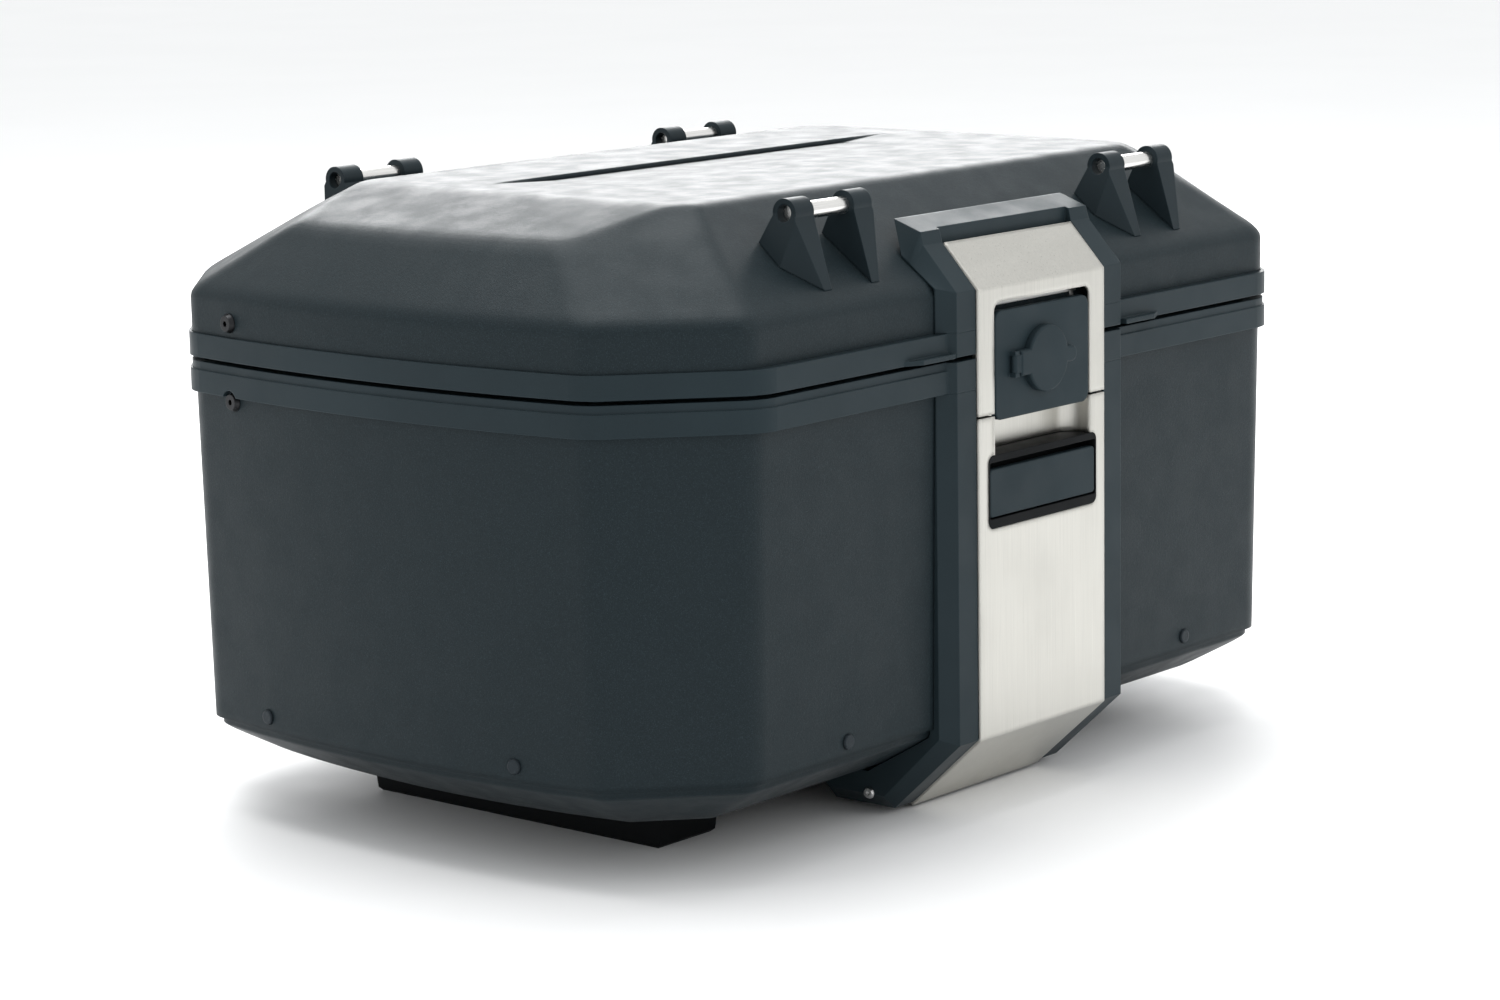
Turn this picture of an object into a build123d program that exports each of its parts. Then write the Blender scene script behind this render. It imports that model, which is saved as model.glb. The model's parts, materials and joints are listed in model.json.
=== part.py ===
from build123d import *
from math import asin, atan2, cos, hypot, sin
import os

# Motorcycle top case: a faceted aluminium lid on an octagonal box, with a latch column
# on the side that faces away from the rider (-Y). Millimetres, +Z up. The origin is on
# the ground, under the middle of the rim bands.

os.makedirs("parts", exist_ok=True)

# ---------------------------------------------------------------- driving dimensions
WIDTH = 540.0  # over the rim bands, at the middle of the bowed sides
DEPTH = 360.0  # over the rim bands, front to rear
SEAM = 222.0  # ground to the top of the lower rim's lip
SIDE_BOW = 11.0  # how far the middle of a side stands out past its corners
CORNER_X = 68.0  # corner cut, measured along the front from the overall width
CORNER_Y = 53.0  # corner cut, measured along the side from the overall depth
CORNER_R = 24.0  # rounding of the eight plan corners, at the rim bands

SHEET = 2.0  # aluminium of the box wall and the lid
RIM_PROUD = 5.0  # the rim bands stand this far out of the wall
WALL_FLUSH = 2.4  # at the sides and corners the wall stands out further by this
LID_FLUSH = 3.4  # and the lid by this
RIM_WIDTH = 16.0  # rim band, from its outer to its inner face
RIM_LOWER_H = 14.6  # lower band with its lip
LIP_H = 3.9  # lip on top of the lower band
LIP_INSET = 1.0
RIM_GAP = 2.2  # open joint between the two bands
RIM_UPPER_H = 11.2
TONGUE_INSET = 11.0  # tongue on the lower rim that presses on the seal
TONGUE_W = 2.0
TONGUE_H = 4.0
SEAL_W = 4.0  # groove for the seal, in the upper rim
SEAL_DEPTH = 5.5
SEAL_H = 2.7
FIT = 0.1  # clearance between fixed pieces
RUN = 0.05  # radial clearance of a pin or shaft in its hole
AIR = 0.3  # clearance between curved pieces

WALL_DROP = 174.0  # from the seam down to the wall's lower edge
WALL_DRAFT = 2.5  # the wall leans in by this much at its lower edge
WALL_GRIP = 8.5  # how far the sheets reach into the rim bands
TUB_LAP = 24.0  # height of the tub's flange inside the wall
TUB_STEP = 3.4  # the tub stands back from the wall's outer face
TUB_KNEE = 178.5  # from the seam down to the start of the tub's slope
TUB_FLOOR = 200.0  # from the seam down to the tub's underside
TUB_SLOPE_IN = 37.0  # how far the slope leads inwards
TUB_T = 3.0

EAVE_UP = 34.0  # from the seam up to the lid's first fold
KNEE_UP = 65.6  # second fold, on the sides only
LID_UP = 79.0  # the lid's flat top
KNEE_X = 230.0
TOP_X = 176.0
TOP_FRONT = 113.0
TOP_REAR = 99.0
RECESS_DEPTH = 2.0  # shallow panel sunk in the lid's top
RECESS_REAR = 30.0
RECESS_RUN = 75.0
RECESS_HALF = 150.0
RECESS_FULL = 110.0

COLUMN_HALF = 73.0  # latch column, at its base on the wall
COLUMN_BEVEL = 7.0  # bevel along the column's outer edges
COLUMN_FACE = 183.0  # column's front plane, from the middle of the box
CHANNEL_HALF = 51.5  # channel for the steel covers
SEAT_HALF = 46.0  # inside the covers' seats
COVER_FACE = 184.0
COVER_HALF = 50.5
COVER_T = 1.5
COVER_DEEP = 3.8  # sheet with its folded side edges
COVER_SEAM = 27.6  # from the seam down to the joint between the two covers
COVER_GAP = 1.2
TOP_BEND = 31.9
TOP_END_Y = 164.4
TOP_END_UP = 52.9
LOW_BEND = 182.5
LOW_END_Y = 142.3
LOW_END_DROP = 220.4

FLAP_HALF = 37.7  # latch lever in the upper cover's window
FLAP_TOP = 20.4
FLAP_DROP = 31.3
FLAP_T = 3.0
WINDOW_GAP = 0.9
WINDOW_TOP = 24.6
FLAP_AXIS_Y = 178.0
FLAP_AXIS_UP = 17.0
FLAP_LUG_R = 2.8
FLAP_PIN_R = 1.6
HOOK_AXIS_UP = 8.0
LOCK_DROP = 5.7
BARREL_R = 8.9
PLUG_R = 6.5
CAP_R = 16.0
CAP_T = 3.6
CAP_AXIS_X = 25.0

BEZEL_HALF = 43.5  # frame of the carrier release handle
BEZEL_TOP = 47.3
BEZEL_DROP = 82.0
BEZEL_BAR = 3.3
PANEL_TOP = 54.0
PANEL_DROP = 76.8
PANEL_HALF = 42.3
PANEL_T = 3.5
PANEL_AXIS_Y = 182.6
PANEL_AXIS_DROP = 75.2
POCKET_HALF = 38.5  # finger pocket above the handle
POCKET_Y = 169.0

BAR_X = 122.0  # lashing bars
BAR_FRONT = 150.0
BAR_REAR = 137.0
BAR_UP = 75.0
BAR_R = 4.0
BAR_SPAN = 28.8  # free length between the posts
POST_R = 6.7
POST_W = 13.0
POST_SPREAD = 19.0  # width of a post's foot

HINGE_X = 150.0
HINGE_AXIS_Y = 187.6
HINGE_W = 40.0
KNUCKLE_R = 4.2
HINGE_PIN_R = 2.0
LEAF_T = 3.0

RAIL_X = 158.0  # rails that the case stands on
RAIL_W = 40.0
RAIL_HALF_L = 92.0
RAIL_CHAMFER = 1.5
CROSS_BAR_W = 30.0  # foot between the rails, front to rear
CARRIER_PLATE_T = 5.0
CLAW_SCREW_IN = 9.0  # screws that hold the plate and the foot, ahead of the middle
RIVET_HEAD_R = 3.75
RIVET_SHANK_R = 2.0
SCREW_HEAD_R = 4.6

hinge_z = SEAM + RIM_GAP / 2
rim_under = SEAM - RIM_LOWER_H
rim_top = SEAM + RIM_GAP + RIM_UPPER_H


def save(name, part):
    """Label a finished piece and write it as one STEP."""
    part.label = name
    export_step(part, f"parts/{name}.step")


# ---------------------------------------------------------------- outlines
def corner_points(inset, flush=0.0):
    """The two ends of a corner cut, on a plan set in by inset, less by flush at sides and corners."""
    ax, ay = WIDTH / 2 - SIDE_BOW, DEPTH / 2 - CORNER_Y
    bx, by = WIDTH / 2 - CORNER_X, DEPTH / 2
    length = hypot(ax - bx, by - ay)
    nx, ny = (by - ay) / length, (ax - bx) / length
    side_x, front_y = ax - inset + flush, by - inset
    reach = nx * ax + ny * ay - inset + flush
    return side_x, (reach - nx * side_x) / ny, (reach - ny * front_y) / nx, front_y


def octagon(height, side_x, side_f, side_r, front_x, front_y, rear_x, rear_y, bow, radius):
    """A bowed octagon at one height. Front is -Y."""
    with BuildSketch(Plane.XY.offset(height)) as sketch:
        with BuildLine():
            middle = (side_r - side_f) / 2
            Polyline((side_x, side_r), (rear_x, rear_y), (-rear_x, rear_y), (-side_x, side_r))
            ThreePointArc((-side_x, side_r), (-side_x - bow, middle), (-side_x, -side_f))
            Polyline((-side_x, -side_f), (-front_x, -front_y), (front_x, -front_y), (side_x, -side_f))
            ThreePointArc((side_x, -side_f), (side_x + bow, middle), (side_x, side_r))
        make_face()
        fillet(sketch.vertices(), radius)
    return sketch.sketch


def plan(inset, height, flush=0.0):
    """The box's own plan, set in from the rim bands by inset, less by flush at sides and corners."""
    side_x, side_y, front_x, front_y = corner_points(inset, flush)
    radius = max(CORNER_R - inset, 6.0)
    return octagon(height, side_x, side_y, side_y, front_x, front_y, front_x, front_y, SIDE_BOW, radius)


def ring(outer, inner, low, high, mode=Mode.ADD, flush=0.0):
    """A band between two plans, added to or cut from the part being built."""
    with BuildSketch(Plane.XY.offset(low)) as band:
        add(plan(outer, 0, flush))
        add(plan(inner, 0, flush), mode=Mode.SUBTRACT)
    extrude(band.sketch, amount=high - low, mode=mode)


def side_at(y, inset):
    """X of the bowed side face at y, on a plan set in by inset."""
    side_x, side_y, _, _ = corner_points(inset)
    radius = (side_y**2 + SIDE_BOW**2) / (2 * SIDE_BOW)
    return side_x + SIDE_BOW - radius + (radius**2 - y**2) ** 0.5


def side_plane(side, y, drop, inset, off):
    """Plane on a bowed side, square to it, off the surface by off."""
    side_x, side_y, _, _ = corner_points(inset)
    radius = (side_y**2 + SIDE_BOW**2) / (2 * SIDE_BOW)
    nx, ny = cos(asin(y / radius)), y / radius
    origin = (side * (side_at(y, inset) + nx * off), y + ny * off, SEAM - drop)
    return Plane(origin=origin, z_dir=(side * nx, ny, 0))


def rounded(stations, share):
    """Rows of station values with each inner row replaced by a short quadratic curve."""
    rows = [stations[0]]
    steps = 4
    for before, here, after in zip(stations, stations[1:], stations[2:]):
        start = [h + share * (b - h) for b, h in zip(before, here)]
        end = [h + share * (a - h) for a, h in zip(after, here)]
        for k in range(steps + 1):
            t = k / steps
            row = [(1 - t) ** 2 * s + 2 * t * (1 - t) * h + t * t * e for s, h, e in zip(start, here, end)]
            rows.append(row)
    rows.append(stations[-1])
    return rows


def lid_stations(thick, foot):
    """Octagon values from the lid's foot to its flat top, thinner by thick all round."""
    side_x, side_y, front_x, front_y = corner_points(RIM_PROUD + thick, LID_FLUSH)
    bottom = [SEAM + foot, side_x, side_y, side_y, front_x, front_y, front_x, front_y, SIDE_BOW, CORNER_R - 6]
    eave = list(bottom)
    eave[0] = SEAM + EAVE_UP - thick * 0.3
    lean = 0.85 * thick
    knee = [SEAM + KNEE_UP - thick * 0.8, KNEE_X - lean, 89, 81, 181.5, 131.5 - lean, 181.5, 121.5 - lean, 6, 16]
    edge = [SEAM + LID_UP - thick, TOP_X - thick, TOP_FRONT - 6, TOP_REAR - 6]
    edge += [TOP_X - 10, TOP_FRONT - thick, TOP_X - 10, TOP_REAR - thick, 2.5, 8]
    middle = [SEAM + LID_UP - thick, TOP_X - 30, TOP_FRONT - 36, TOP_REAR - 36]
    middle += [TOP_X - 40, TOP_FRONT - 30, TOP_X - 40, TOP_REAR - 30, 1.5, 6]
    return [bottom, eave, knee, edge, middle]


# ---------------------------------------------------------------- box wall and tub
def wall_inset(drop, depth=0.0):
    """Inset of the drafted wall at a drop below the seam, depth into the sheet."""
    return RIM_PROUD + WALL_DRAFT * drop / WALL_DROP + depth


wall_top = RIM_LOWER_H - WALL_GRIP
with BuildPart() as body_wall:
    for depth, mode in ((0.0, Mode.ADD), (SHEET, Mode.SUBTRACT)):
        extra = depth / SHEET
        high = plan(wall_inset(wall_top, depth), SEAM - wall_top + extra, WALL_FLUSH)
        low = plan(wall_inset(WALL_DROP, depth), SEAM - WALL_DROP - extra, WALL_FLUSH)
        loft([low, high], ruled=True, mode=mode)
    # opening behind the finger pocket and the latch
    with Locations((0, -DEPTH / 2, SEAM - (BEZEL_DROP + 4) / 2)):
        Box(2 * SEAT_HALF - 2, 30, BEZEL_DROP + 4, mode=Mode.SUBTRACT)

tub_outer = RIM_PROUD + WALL_DRAFT + TUB_STEP
rivet_drop = 167.0
rivet_y = 80.0
rivet_x = 137.0


def tub_rows(thick):
    """Height and inset of the tub's sections, from its flange to its floor."""
    return [
        [-(WALL_DROP - TUB_LAP) + thick * 0.5, wall_inset(WALL_DROP, SHEET + AIR) + thick],
        [-WALL_DROP - 1, wall_inset(WALL_DROP, SHEET + AIR) + thick],
        [-WALL_DROP - 2, tub_outer + thick],
        [-TUB_KNEE + thick * 0.3, tub_outer + thick],
        [-TUB_FLOOR + thick, tub_outer + TUB_SLOPE_IN + thick * 0.5],
        [-TUB_FLOOR + thick, tub_outer + TUB_SLOPE_IN + 25],
    ]


with BuildPart() as bottom_tub:
    for thick, mode in ((0.0, Mode.ADD), (TUB_T, Mode.SUBTRACT)):
        rows = tub_rows(thick)
        curve = rows[:3] + rounded(rows[2:], 0.3)[1:]
        loft([plan(inset, SEAM + up, WALL_FLUSH) for up, inset in curve], ruled=True, mode=mode)


def around_rivets():
    """Planes of the eight rivets, each with its Z pointing out of the wall."""
    inset = wall_inset(rivet_drop)
    places = []
    for side in (-1, 1):
        for y in (-rivet_y, rivet_y):
            places.append(side_plane(side, y, rivet_drop, inset - WALL_FLUSH, 0))
        for x in (-rivet_x, rivet_x):
            origin = (x, side * (DEPTH / 2 - inset), SEAM - rivet_drop)
            places.append(Plane(origin=origin, z_dir=(0, side, 0)))
    return places


rivet_reach = SHEET + AIR + TUB_T
with BuildPart() as rivet_shanks:
    for place in around_rivets():
        with BuildSketch(place.offset(1.0)):
            RegularPolygon(RIVET_SHANK_R + RUN, 12, major_radius=False)
        extrude(amount=-rivet_reach - 3.0)
with BuildPart() as tub_rivets:
    for place in around_rivets():
        with BuildSketch(place.offset(-rivet_reach - 1.2)):
            Circle(RIVET_SHANK_R)
        extrude(amount=rivet_reach + 1.6)
        with BuildSketch(place.offset(0.12)):
            Circle(RIVET_HEAD_R)
        extrude(amount=1.1, taper=25)
        with BuildSketch(place.offset(-rivet_reach - 0.4)):
            Circle(RIVET_HEAD_R - 0.6)
        extrude(amount=-1.0)
body_wall.part = body_wall.part - rivet_shanks.part
bottom_tub.part = bottom_tub.part - rivet_shanks.part

# ---------------------------------------------------------------- rims and seal
screw_y = 94.0
lid_screw_up = 20.3
body_screw_drop = 17.0


def column_ends(low, high):
    """The column's cross-section where a rim band runs over it, on both sides."""
    foot = DEPTH / 2 - RIM_PROUD
    for side in (-1, 1):
        with BuildSketch(Plane.XY.offset(low)) as strip:
            with BuildLine():
                Polyline(
                    (side * SEAT_HALF, -foot),
                    (side * SEAT_HALF, -(COVER_FACE - COVER_DEEP - 0.2)),
                    (side * CHANNEL_HALF, -(COVER_FACE - COVER_DEEP - 0.2)),
                    (side * CHANNEL_HALF, -COLUMN_FACE),
                    (side * (COLUMN_HALF - COLUMN_BEVEL), -COLUMN_FACE),
                    (side * COLUMN_HALF, -(COLUMN_FACE - COLUMN_BEVEL)),
                    (side * COLUMN_HALF, -foot),
                    close=True,
                )
            make_face()
        extrude(strip.sketch, amount=high - low)


pocket_back = DEPTH / 2 - 8.5


def column_pocket(low, high):
    """Room for the latch, cut out of a rim band."""
    with Locations((0, -(pocket_back + 10), (low + high) / 2)):
        Box(2 * SEAT_HALF, 20, high - low + 1, mode=Mode.SUBTRACT)


slot_out, slot_in = RIM_PROUD - FIT, RIM_PROUD + SHEET + 3 * FIT
with BuildPart() as lower_rim:
    ring(0, RIM_WIDTH, rim_under, SEAM - LIP_H)
    ring(LIP_INSET, RIM_WIDTH, SEAM - LIP_H, SEAM)
    ring(TONGUE_INSET, TONGUE_INSET + TONGUE_W, SEAM, SEAM + TONGUE_H)
    ring(slot_out, slot_in, rim_under, SEAM - wall_top + FIT, Mode.SUBTRACT, WALL_FLUSH)
    column_ends(rim_under, SEAM - FIT)
    column_pocket(rim_under, SEAM + 0.5)
    for side in (-1, 1):
        seat = side_plane(side, screw_y, body_screw_drop, wall_inset(body_screw_drop) - WALL_FLUSH, 0)
        with BuildSketch(seat.offset(-FIT)):
            Circle(SCREW_HEAD_R + 1.0)
        extrude(amount=20, mode=Mode.SUBTRACT)
        with BuildSketch(seat):
            RegularPolygon(2.6, 12, major_radius=False)
        extrude(amount=-12, mode=Mode.SUBTRACT)

tab_low, tab_high = SEAM + RIM_GAP, SEAM + RIM_GAP + 2.2
with BuildPart() as upper_rim:
    ring(0, RIM_WIDTH, SEAM + RIM_GAP, rim_top)
    groove_top = SEAM + RIM_GAP + SEAL_DEPTH
    ring(TONGUE_INSET - 1, TONGUE_INSET - 1 + SEAL_W, SEAM + RIM_GAP, groove_top, mode=Mode.SUBTRACT)
    ring(slot_out, slot_in, rim_top - WALL_GRIP + 2, rim_top, Mode.SUBTRACT, LID_FLUSH)
    column_ends(SEAM + RIM_GAP, rim_top)
    column_pocket(SEAM + RIM_GAP, rim_top)
    # thin finger ledges beside the column
    for side in (-1, 1):
        with BuildSketch(Plane.XY.offset(tab_low)):
            with BuildLine():
                edge = DEPTH / 2
                Polyline(
                    (side * (COLUMN_HALF - 4), -edge + 1),
                    (side * (COLUMN_HALF - 4), -edge - 4.5),
                    (side * (COLUMN_HALF + 20), -edge - 4.5),
                    (side * (COLUMN_HALF + 31), -edge + 1),
                    close=True,
                )
            make_face()
        extrude(amount=tab_high - tab_low)

with BuildPart() as rim_seal:
    ring(TONGUE_INSET - 0.7, TONGUE_INSET + TONGUE_W + 0.7, groove_top - SEAL_H, groove_top)

# ---------------------------------------------------------------- lid
lid_foot = rim_top - WALL_GRIP + 2 - SEAM + FIT
with BuildPart() as lid_shell:
    for thick, mode in ((0.0, Mode.ADD), (SHEET + 0.2, Mode.SUBTRACT)):
        stations = lid_stations(thick, lid_foot - thick * 0.2)
        loft([octagon(*row) for row in rounded(stations, 0.15)], ruled=True, mode=mode)
    # sunk panel in the top: deepest along its rear edge, running out to the front
    sections = []
    top = SEAM + LID_UP + 0.2
    for x, share in ((-RECESS_HALF, 0.05), (-RECESS_FULL, 1), (RECESS_FULL, 1), (RECESS_HALF, 0.05)):
        low = top - 0.2 - share * RECESS_DEPTH
        run = 20 + share * (RECESS_RUN - 20)
        with BuildSketch(Plane.YZ.offset(x)) as section:
            with BuildLine():
                Polyline((RECESS_REAR, top), (RECESS_REAR - 1, low), (RECESS_REAR - run, top), close=True)
            make_face()
        sections.append(section.sketch)
    loft(sections, ruled=True, mode=Mode.SUBTRACT)


# ---------------------------------------------------------------- latch column
foot_y = DEPTH / 2 - RIM_PROUD + 0.2
eave_y = DEPTH / 2 - RIM_PROUD
slope_run = eave_y - TOP_FRONT
slope_rise = LID_UP - EAVE_UP


def lid_slope(y):
    """Height above the seam of the lid's front slope at a distance y in front of the middle."""
    return EAVE_UP + (eave_y - y) * slope_rise / slope_run


arch_rear, arch_foot, arch_front = 147.0, 151.0, 160.5


def bevelled(profile, tip):
    """A column piece: one side view across the middle, ruled to a smaller one at each side."""
    flat = COLUMN_HALF - COLUMN_BEVEL
    views = []
    for x, points in ((-COLUMN_HALF, tip), (-flat, profile), (flat, profile), (COLUMN_HALF, tip)):
        with BuildSketch(Plane.YZ.offset(x), mode=Mode.PRIVATE) as view:
            Polygon(*[(-y, z) for y, z in points], align=None)
        views.append(view.sketch)
    loft(views, ruled=True)


bevel = COLUMN_BEVEL
with BuildPart() as upper_fairing:
    bevelled(
        [
            (foot_y, rim_top + FIT),
            (COLUMN_FACE, rim_top + FIT),
            (COLUMN_FACE, SEAM + TOP_BEND + 0.3),
            (TOP_END_Y - 0.5, SEAM + TOP_END_UP + 0.2),
            (arch_front + 2, SEAM + TOP_END_UP + 6.2),
            (arch_rear, SEAM + 64.5),
            (arch_foot, SEAM + lid_slope(arch_foot) + AIR),
            (foot_y, SEAM + lid_slope(foot_y) + AIR),
        ],
        [
            (foot_y, rim_top + FIT),
            (COLUMN_FACE - bevel, rim_top + FIT),
            (COLUMN_FACE - bevel, SEAM + lid_slope(COLUMN_FACE - bevel) + AIR + 0.8),
            (TOP_END_Y - 1.0, SEAM + lid_slope(TOP_END_Y - 1.0) + AIR + 1.0),
            (TOP_END_Y - 3.0, SEAM + lid_slope(TOP_END_Y - 3.0) + AIR + 1.2),
            (arch_foot + 5.6, SEAM + lid_slope(arch_foot + 5.6) + AIR + 1.2),
            (arch_foot + 5.4, SEAM + lid_slope(arch_foot + 5.4) + AIR),
            (foot_y, SEAM + lid_slope(foot_y) + AIR),
        ],
    )
    # seat for the steel cover, and the pocket behind the cover's upper end
    with BuildSketch(Plane.YZ.offset(-CHANNEL_HALF)) as seat:
        with BuildLine():
            seat_y = COVER_FACE - COVER_DEEP - 0.2
            Polyline(
                (-COVER_FACE - 6, rim_top),
                (-seat_y, rim_top),
                (-seat_y, SEAM + TOP_BEND - 1.8),
                (-167.5, SEAM + TOP_BEND + 11.6),
                (-arch_front, SEAM + lid_slope(arch_front) + 2.0),
                (-arch_front, SEAM + LID_UP),
                (-COVER_FACE - 6, SEAM + LID_UP),
                close=True,
            )
        make_face()
    extrude(amount=2 * CHANNEL_HALF, mode=Mode.SUBTRACT)
    with Locations((0, -DEPTH / 2, rim_top + 7)):
        Box(2 * SEAT_HALF, 30, 16, mode=Mode.SUBTRACT)

tail_y = 104.0
tub_front = DEPTH / 2 - tub_outer
low_top = rim_under - FIT
with BuildPart() as lower_fairing:
    inner_view = [
        (tail_y, SEAM - TUB_FLOOR - FIT),
        (tub_front - TUB_SLOPE_IN + 1, SEAM - TUB_FLOOR - FIT),
        (tub_front + 0.4, SEAM - TUB_KNEE - 0.2),
        (tub_front + 1.5, SEAM - WALL_DROP - 2.3),
        (tub_front + 1.5, SEAM - WALL_DROP - FIT),
        (foot_y - WALL_DRAFT + 0.1, SEAM - WALL_DROP - FIT),
    ]
    bevelled(
        [
            (foot_y, low_top),
            (COLUMN_FACE, low_top),
            (COLUMN_FACE, SEAM - LOW_BEND + 0.5),
            (LOW_END_Y + 1.5, SEAM - LOW_END_DROP + 2.3),
            (tail_y + 4, SEAM - LOW_END_DROP + 2.3),
            (tail_y, SEAM - LOW_END_DROP + 9),
        ]
        + inner_view,
        [
            (foot_y, low_top),
            (COLUMN_FACE - bevel, low_top),
            (COLUMN_FACE - bevel, SEAM - LOW_BEND + 3.6),
            (LOW_END_Y + 0.5, SEAM - LOW_END_DROP + 9.3),
            (tail_y + 5, SEAM - LOW_END_DROP + 9.3),
            (tail_y, SEAM - LOW_END_DROP + 14),
        ]
        + inner_view,
    )
    with BuildSketch(Plane.YZ.offset(-CHANNEL_HALF)):
        with BuildLine():
            Polyline(
                (-COVER_FACE - 6, low_top + 1),
                (-seat_y, low_top + 1),
                (-seat_y, SEAM - LOW_BEND + 1.9),
                (-(LOW_END_Y - 2.9), SEAM - LOW_END_DROP + 3.3),
                (-(LOW_END_Y - 2.9), -5),
                (-COVER_FACE - 6, -5),
                close=True,
            )
        make_face()
    extrude(amount=2 * CHANNEL_HALF, mode=Mode.SUBTRACT)
    with Locations((0, -DEPTH / 2, SEAM / 2)):
        Box(2 * SEAT_HALF, 2 * (DEPTH / 2 - tail_y + 5), SEAM, mode=Mode.SUBTRACT)
    # two cross ribs join the cheeks behind the release rod
    for drop in (92.0, 160.0):
        with Locations((0, -(foot_y + 1.3), SEAM - drop)):
            Box(2 * SEAT_HALF + 2, 2.2, 10)


def cover_body(start, bend, end_y, end_z):
    """A folded steel cover: a face with rolled side edges."""
    rise = 1 if end_z > bend else -1
    slant = atan2(abs(end_z - bend), COVER_FACE - end_y)
    for deep, half, mode in ((COVER_DEEP, COVER_HALF, Mode.ADD), (COVER_T, COVER_HALF - COVER_T, None)):
        first = 0.0 if mode else deep
        last = COVER_DEEP if mode else COVER_DEEP + 1.5
        loops = []
        for off in (first, last):
            shift = off * (1 - cos(slant)) / sin(slant) if off else 0.0
            knee = (-(COVER_FACE - off), bend - rise * shift)
            tip = (-(end_y - off * sin(slant)), end_z - rise * off * cos(slant))
            loops.append(((-(COVER_FACE - off), start), knee, tip))
        with BuildSketch(Plane.YZ.offset(-half)) as outline:
            with BuildLine():
                Polyline(*loops[0], *reversed(loops[1]), close=True)
            make_face()
        extrude(outline.sketch, amount=2 * half, mode=mode or Mode.SUBTRACT)


def face_window(low, high, half, radius, back=COVER_FACE - 12, mode=Mode.SUBTRACT):
    """A rounded rectangular opening through the column's front."""
    with BuildSketch(Plane.XZ.offset(COVER_FACE + 6)) as opening:
        with Locations((0, (low + high) / 2)):
            RectangleRounded(2 * half, high - low, radius)
    extrude(opening.sketch, amount=-(COVER_FACE + 6 - back), mode=mode)


with BuildPart() as upper_cover:
    cover_body(SEAM - COVER_SEAM, SEAM + TOP_BEND, TOP_END_Y, SEAM + TOP_END_UP)
    face_window(SEAM - COVER_SEAM - 30, SEAM + WINDOW_TOP, FLAP_HALF + WINDOW_GAP, 4.5)

with BuildPart() as lower_cover:
    low_start = SEAM - COVER_SEAM - COVER_GAP
    cover_body(low_start, SEAM - LOW_BEND, LOW_END_Y, SEAM - LOW_END_DROP)
    face_window(SEAM - BEZEL_DROP - 0.2, SEAM - BEZEL_TOP + 0.2, BEZEL_HALF + 0.2, 4.0)
    face_window(SEAM - BEZEL_TOP - 4, SEAM, POCKET_HALF, 1.0)
    # pressed finger pocket above the handle
    with BuildSketch(Plane.XY.offset(SEAM - BEZEL_TOP + 0.3)) as tray:
        with BuildLine() as tray_line:
            Polyline(
                (-POCKET_HALF - 1.0, -COVER_FACE + 0.4),
                (-POCKET_HALF - 1.0, -POCKET_Y),
                (POCKET_HALF + 1.0, -POCKET_Y),
                (POCKET_HALF + 1.0, -COVER_FACE + 0.4),
            )
            fillet(tray_line.vertices().sort_by(Axis.Y)[-2:], 10.0)
            offset(tray_line.line, amount=1.0, kind=Kind.TANGENT)
        make_face()
    extrude(amount=low_start - (SEAM - BEZEL_TOP + 0.3))

# ---------------------------------------------------------------- latch lever and lock
with BuildPart() as latch_flap:
    face_window(SEAM - FLAP_DROP, SEAM + FLAP_TOP, FLAP_HALF, 5.0, COVER_FACE - FLAP_T, Mode.ADD)
    with BuildSketch(Plane.XZ.offset(COVER_FACE)):
        with Locations((0, SEAM)):
            Rectangle(300, 300)
    extrude(amount=20, mode=Mode.SUBTRACT)
    edges = latch_flap.faces().sort_by(Axis.Y)[0].edges()
    fillet(edges, 0.8)
    for side in (-1, 1):
        with BuildSketch(Plane.YZ.offset(side * 30.5 - 1.5)):
            with Locations((-FLAP_AXIS_Y, SEAM + FLAP_AXIS_UP)):
                Circle(FLAP_LUG_R)
            with Locations((-(FLAP_AXIS_Y + COVER_FACE - FLAP_T) / 2, SEAM + FLAP_AXIS_UP)):
                Rectangle(COVER_FACE - FLAP_T - FLAP_AXIS_Y + 0.4, 2 * FLAP_LUG_R)
        extrude(amount=3)
    with BuildSketch(Plane.YZ.offset(-50)):
        with Locations((-FLAP_AXIS_Y, SEAM + FLAP_AXIS_UP)):
            Circle(FLAP_PIN_R + RUN)
    extrude(amount=100, mode=Mode.SUBTRACT)
    with BuildSketch(Plane.XZ.offset(COVER_FACE + 1)):
        with Locations((0, SEAM - LOCK_DROP)):
            Circle(BARREL_R + FIT)
    extrude(amount=-10, mode=Mode.SUBTRACT)
    # ears of the dust cap's hinge
    for up in (-5.2, 5.2):
        with Locations((-CAP_AXIS_X, -COVER_FACE - 1.7, SEAM - LOCK_DROP + up)):
            Box(3.2, 3.6, 1.8)
    with BuildSketch(Plane.XY.offset(SEAM - LOCK_DROP - 10)):
        with Locations((-CAP_AXIS_X, -COVER_FACE - 1.9)):
            Circle(0.8)
    extrude(amount=20, mode=Mode.SUBTRACT)

with BuildPart() as dust_cap_pin:
    with Locations((-CAP_AXIS_X, -COVER_FACE - 1.9, SEAM - LOCK_DROP)):
        Cylinder(0.8, 12.2)

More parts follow.
